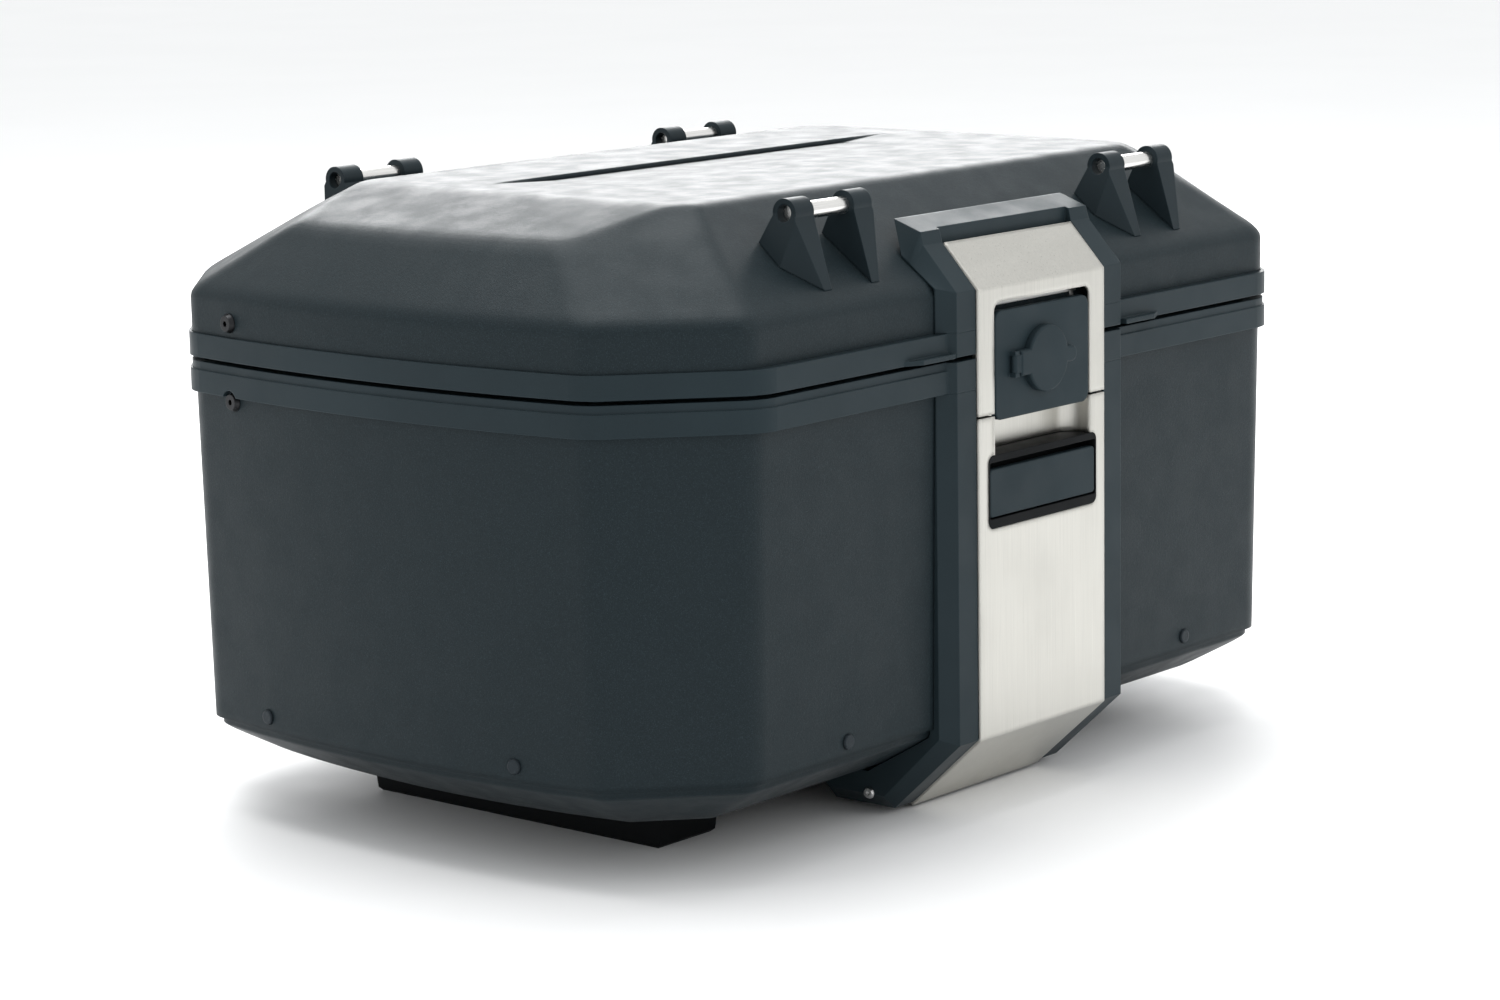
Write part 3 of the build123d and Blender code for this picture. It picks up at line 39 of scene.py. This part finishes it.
# ---------------------------------------------------------------- node helpers
class Paint:
    """A material being built: its node tree and the shader at its end.

    Textures are laid out in each piece's own metres.
    """

    def __init__(self, name):
        self.material = bpy.data.materials.new(name)
        self.material.use_nodes = True
        self.tree = self.material.node_tree
        self.tree.nodes.clear()
        output = self.tree.nodes.new("ShaderNodeOutputMaterial")
        self.shader = self.tree.nodes.new("ShaderNodeBsdfPrincipled")
        self.link(self.shader.outputs[0], output.inputs["Surface"])
        self.place = self.node("ShaderNodeTexCoord").outputs["Object"]

    def node(self, kind, **values):
        made = self.tree.nodes.new(kind)
        for key, value in values.items():
            setattr(made, key, value)
        return made

    def link(self, a, b):
        self.tree.links.new(a, b)

    def set(self, **values):
        for key, value in values.items():
            self.shader.inputs[key.replace("_", " ")].default_value = value

    def noise(self, scale, detail=2.0, stretch=(1, 1, 1), rough=0.5, shift=0.0):
        """Cloudy noise, drawn out along an axis whose stretch is small."""
        mapping = self.node("ShaderNodeMapping")
        mapping.inputs["Scale"].default_value = stretch
        mapping.inputs["Location"].default_value = (shift, shift * 0.7, shift * 1.3)
        self.link(self.place, mapping.inputs["Vector"])
        made = self.node("ShaderNodeTexNoise")
        made.inputs["Scale"].default_value = scale
        made.inputs["Detail"].default_value = detail
        made.inputs["Roughness"].default_value = rough
        self.link(mapping.outputs[0], made.inputs["Vector"])
        return made.outputs["Fac"]

    def specks(self, scale):
        """A separate value for each small cell."""
        cells = self.node("ShaderNodeTexVoronoi")
        cells.inputs["Scale"].default_value = scale
        self.link(self.place, cells.inputs["Vector"])
        split = self.node("ShaderNodeSeparateColor")
        self.link(cells.outputs["Color"], split.inputs[0])
        return split.outputs[0]

    def ramp(self, fac, stops):
        """Eased steps between grey values or colours."""
        made = self.node("ShaderNodeValToRGB")
        made.color_ramp.interpolation = "EASE"
        elements = made.color_ramp.elements
        while len(elements) > 1:
            elements.remove(elements[-1])
        for k, (at, value) in enumerate(stops):
            spot = elements[0] if k == 0 else elements.new(at)
            spot.position = at
            spot.color = (*value, 1) if isinstance(value, tuple) else (value, value, value, 1)
        self.link(fac, made.inputs[0])
        return made.outputs[0]

    def mix(self, fac, a, b, blend="MIX"):
        made = self.node("ShaderNodeMix", data_type="RGBA", blend_type=blend)
        for socket, value in ((made.inputs[0], fac), (made.inputs[6], a), (made.inputs[7], b)):
            if isinstance(value, bpy.types.NodeSocket):
                self.link(value, socket)
            elif isinstance(value, tuple):
                socket.default_value = (*value, 1)
            else:
                socket.default_value = value
        return made.outputs[2]

    def math(self, op, a, b=0.0, c=0.0):
        made = self.node("ShaderNodeMath", operation=op)
        for socket, value in zip(made.inputs, (a, b, c)):
            if isinstance(value, bpy.types.NodeSocket):
                self.link(value, socket)
            else:
                socket.default_value = value
        return made.outputs[0]

    def soft_edges(self, radius):
        """Shading normal that rounds edges by radius."""
        made = self.node("ShaderNodeBevel", samples=BEVEL_SAMPLES)
        made.inputs["Radius"].default_value = radius
        return made.outputs[0]

    def edge_highlight_mask(self, radius, low=0.75, high=0.97):
        """1 on sharp edges, 0 on open faces; the materials paint a highlight into the colour there.
        """
        rounded = self.node("ShaderNodeBevel", samples=BEVEL_SAMPLES)
        rounded.inputs["Radius"].default_value = radius
        flat = self.node("ShaderNodeNewGeometry").outputs["Normal"]
        dot = self.node("ShaderNodeVectorMath", operation="DOT_PRODUCT")
        self.link(rounded.outputs[0], dot.inputs[0])
        self.link(flat, dot.inputs[1])
        made = self.node("ShaderNodeMapRange")
        made.inputs["From Min"].default_value = low
        made.inputs["From Max"].default_value = high
        made.inputs["To Min"].default_value = 1.0
        made.inputs["To Max"].default_value = 0.0
        self.link(dot.outputs["Value"], made.inputs["Value"])
        return made.outputs[0]

    def bump(self, height, strength, distance, normal=None):
        made = self.node("ShaderNodeBump")
        made.inputs["Strength"].default_value = strength
        made.inputs["Distance"].default_value = distance
        self.link(height, made.inputs["Height"])
        if normal is not None:
            self.link(normal, made.inputs["Normal"])
        return made.outputs[0]

    def use(self, **sockets):
        for key, value in sockets.items():
            self.link(value, self.shader.inputs[key.replace("_", " ")])
        return self.material


def scaled(colour, factor):
    return tuple(channel * factor for channel in colour)


# ---------------------------------------------------------------- materials
def powder_coat(name, colour, roughness=0.42, fold=0.0012):
    """Fine-textured slate powder coat with pale flakes and a painted highlight along its edges."""
    p = Paint(name)
    grain = p.noise(1900, 3.0)
    cloud = p.noise(7, 3.0)
    base = p.ramp(grain, [(0.3, scaled(colour, 0.82)), (0.5, colour), (0.72, scaled(colour, 1.3))])
    base = p.mix(p.ramp(cloud, [(0.3, 0.0), (0.7, 0.15)]), base, scaled(colour, 1.15))
    flakes = p.ramp(p.specks(3800), [(0.88, 0.0), (0.97, 0.45)])
    base = p.mix(flakes, base, scaled(colour, 3.0))
    # painted highlight: the base colour is lightened along sharp edges
    base = p.mix(p.math("MULTIPLY", p.edge_highlight_mask(0.0012), 0.25), base, scaled(colour, 2.0))
    height = p.math("ADD", grain, p.math("MULTIPLY", p.noise(800, 2.0), 0.8))
    rough = p.ramp(p.noise(60, 4.0), [(0.3, roughness - 0.04), (0.7, roughness + 0.05)])
    normal = p.bump(height, 0.22, 0.00035, p.soft_edges(fold))
    p.set(Metallic=0.0, Specular_IOR_Level=0.13, Specular_Tint=COOL_TINT)
    return p.use(Base_Color=base, Roughness=rough, Normal=normal)


def moulded(name, colour, roughness=0.42, grain=0.10, edge=0.0007, shine=0.14):
    """Satin injection-moulded plastic with a fine spark-eroded grain and a painted highlight along
    its edges.
    """
    p = Paint(name)
    fine = p.noise(2300, 2.0)
    cloud = p.noise(14, 4.0)
    base = p.ramp(cloud, [(0.3, scaled(colour, 0.92)), (0.7, scaled(colour, 1.08))])
    base = p.mix(p.ramp(fine, [(0.35, 0.0), (0.8, 0.25)]), base, scaled(colour, 1.5))
    # painted highlight: the base colour is lightened along sharp edges
    base = p.mix(p.math("MULTIPLY", p.edge_highlight_mask(edge), 0.5), base, scaled(colour, 2.6))
    rough = p.ramp(p.noise(45, 5.0), [(0.3, roughness - 0.05), (0.7, roughness + 0.06)])
    normal = p.bump(fine, grain, 0.0003, p.soft_edges(edge))
    p.set(Specular_IOR_Level=shine, Specular_Tint=COOL_TINT)
    return p.use(Base_Color=base, Roughness=rough, Normal=normal)


def brushed(name, colour, roughness=0.34, along="z", fold=0.0009):
    """Brushed stainless sheet, with faint smudges and a painted highlight along its edges."""
    p = Paint(name)
    stretch = {"z": (1, 1, 0.012), "x": (0.012, 1, 1)}[along]
    lines = p.noise(1500, 3.0, stretch, 0.6)
    wide = p.noise(240, 3.0, stretch, 0.6, 3.1)
    smudge = p.noise(22, 4.0, (1, 1, 0.7), 0.55, 1.7)
    base = p.ramp(lines, [(0.25, scaled(colour, 0.86)), (0.5, colour), (0.75, scaled(colour, 1.1))])
    base = p.mix(p.ramp(wide, [(0.3, 0.0), (0.75, 0.3)]), base, scaled(colour, 0.9))
    base = p.mix(p.ramp(smudge, [(0.45, 0.0), (0.75, 0.35)]), base, scaled(colour, 0.88))
    # painted highlight: the base colour is brightened along sharp edges
    base = p.mix(p.math("MULTIPLY", p.edge_highlight_mask(0.0009), 0.6), base, scaled(colour, 1.35))
    brush_rough = p.ramp(lines, [(0.2, roughness - 0.08), (0.8, roughness + 0.08)])
    rough = p.math("ADD", brush_rough, p.ramp(smudge, [(0.4, 0.0), (0.8, 0.08)]))
    normal = p.bump(lines, 0.07, 0.0002, p.soft_edges(fold))
    p.set(Metallic=1.0, Anisotropic=0.35)
    return p.use(Base_Color=base, Roughness=rough, Normal=normal)


def metal(name, colour, roughness, edge=0.0004):
    """Turned, plated or polished metal with fine handling marks."""
    p = Paint(name)
    fine = p.noise(900, 3.0)
    marks = p.noise(70, 5.0)
    base = p.ramp(marks, [(0.3, scaled(colour, 0.85)), (0.7, scaled(colour, 1.05))])
    rough = p.ramp(marks, [(0.3, roughness * 0.75), (0.7, roughness * 1.3)])
    normal = p.bump(fine, 0.06, 0.0002, p.soft_edges(edge))
    p.set(Metallic=1.0)
    return p.use(Base_Color=base, Roughness=rough, Normal=normal)


def rubber(name, colour):
    """Matt seal rubber."""
    p = Paint(name)
    fine = p.noise(1600, 3.0)
    base = p.ramp(p.noise(30, 4.0), [(0.3, scaled(colour, 0.85)), (0.7, scaled(colour, 1.2))])
    rough = p.ramp(fine, [(0.3, 0.68), (0.7, 0.82)])
    return p.use(Base_Color=base, Roughness=rough, Normal=p.bump(fine, 0.15, 0.0003))


slate = (0.0108, 0.0168, 0.0198)
paints = {
    "shell_coating": powder_coat("shell_coating_look", slate, fold=0.005),
    "band_plastic": moulded("band_plastic_look", (0.0140, 0.0225, 0.0268), 0.42),
    "brushed_cover": brushed("brushed_cover_look", (0.535, 0.525, 0.488), fold=0.0035),
    "matt_plastic": moulded("matt_plastic_look", (0.0135, 0.0225, 0.0272), 0.52, 0.14),
    "black_plastic": moulded("black_plastic_look", (0.005, 0.0055, 0.006), 0.5, shine=0.06),
    "zinc_steel": metal("zinc_steel_look", (0.55, 0.55, 0.54), 0.35),
    "black_screw": metal("black_screw_look", (0.035, 0.036, 0.038), 0.38),
    "bright_steel": metal("bright_steel_look", (0.75, 0.75, 0.74), 0.2),
    "lock_nickel": metal("lock_nickel_look", (0.7, 0.69, 0.65), 0.22),
    "rivet_metal": powder_coat("rivet_metal_look", (0.016, 0.021, 0.025), 0.36),
    "seal_rubber": rubber("seal_rubber_look", (0.02, 0.02, 0.02)),
    "hinge_black": powder_coat("hinge_black_look", (0.022, 0.025, 0.028), 0.36),
    "post_plastic": moulded("post_plastic_look", (0.0120, 0.0185, 0.0220), 0.42),
    "polished_bar": brushed("polished_bar_look", (0.78, 0.77, 0.75), 0.2, "x"),
}
slot_of = {entry["node"]: entry["material_slot"] for entry in frame["record"]["subparts"]}
for name, piece in nodes.items():
    paint = paints[slot_of[name]]
    for k in range(len(piece.data.materials)):
        piece.data.materials[k] = paint
    if not piece.data.materials:
        piece.data.materials.append(paint)

# ---------------------------------------------------------------- stage, light and camera
bpy.ops.mesh.primitive_plane_add(size=FLOOR_SIZE, location=(0, 0, 0))
floor = bpy.context.object
floor.name = "floor"
p = Paint("floor_look")
p.set(Specular_IOR_Level=0.2)
pale = p.ramp(p.noise(3, 3.0), [(0.3, (0.915, 0.918, 0.920)), (0.7, (0.925, 0.928, 0.930))])
floor_rough = p.ramp(p.noise(40, 2.0), [(0.3, 0.7), (0.7, 0.8)])
floor.data.materials.append(p.use(Base_Color=pale, Roughness=floor_rough))

world = bpy.data.worlds.new("studio")
bpy.context.scene.world = world
world.use_nodes = True
background = world.node_tree.nodes["Background"]
background.inputs["Color"].default_value = WORLD_COLOUR
background.inputs["Strength"].default_value = WORLD_STRENGTH


def softbox(name, at, target, size, power):
    """A rectangular area light that faces its target."""
    data = bpy.data.lights.new(name, "AREA")
    data.shape = "RECTANGLE"
    data.size, data.size_y = size
    data.energy = power
    light = bpy.data.objects.new(name, data)
    light.location = at
    light.rotation_euler = (Vector(target) - Vector(at)).to_track_quat("-Z", "Y").to_euler()
    bpy.context.scene.collection.objects.link(light)


softbox("top_box", (0.2, 0.6, 2.4), BOX_MIDDLE, (2.2, 1.8), 48)
softbox("front_box", (0.6, -2.2, 1.5), BOX_MIDDLE, (1.4, 1.4), 9)
softbox("back_box", (1.9, 1.6, 1.15), (0, 0, 0.3), (2.0, 0.9), 42)

camera_data = bpy.data.cameras.new("camera")
camera = bpy.data.objects.new("camera", camera_data)
camera.location = CAMERA_PLACE
camera.rotation_euler = Euler([math.radians(angle) for angle in CAMERA_TURN], "XYZ")
camera_data.sensor_width = CAMERA_SENSOR
camera_data.lens = CAMERA_LENS
bpy.context.scene.collection.objects.link(camera)
bpy.context.scene.camera = camera

view_settings = bpy.context.scene.view_settings
view_settings.view_transform = "Standard"
view_settings.look = "None"
view_settings.exposure = 0.0
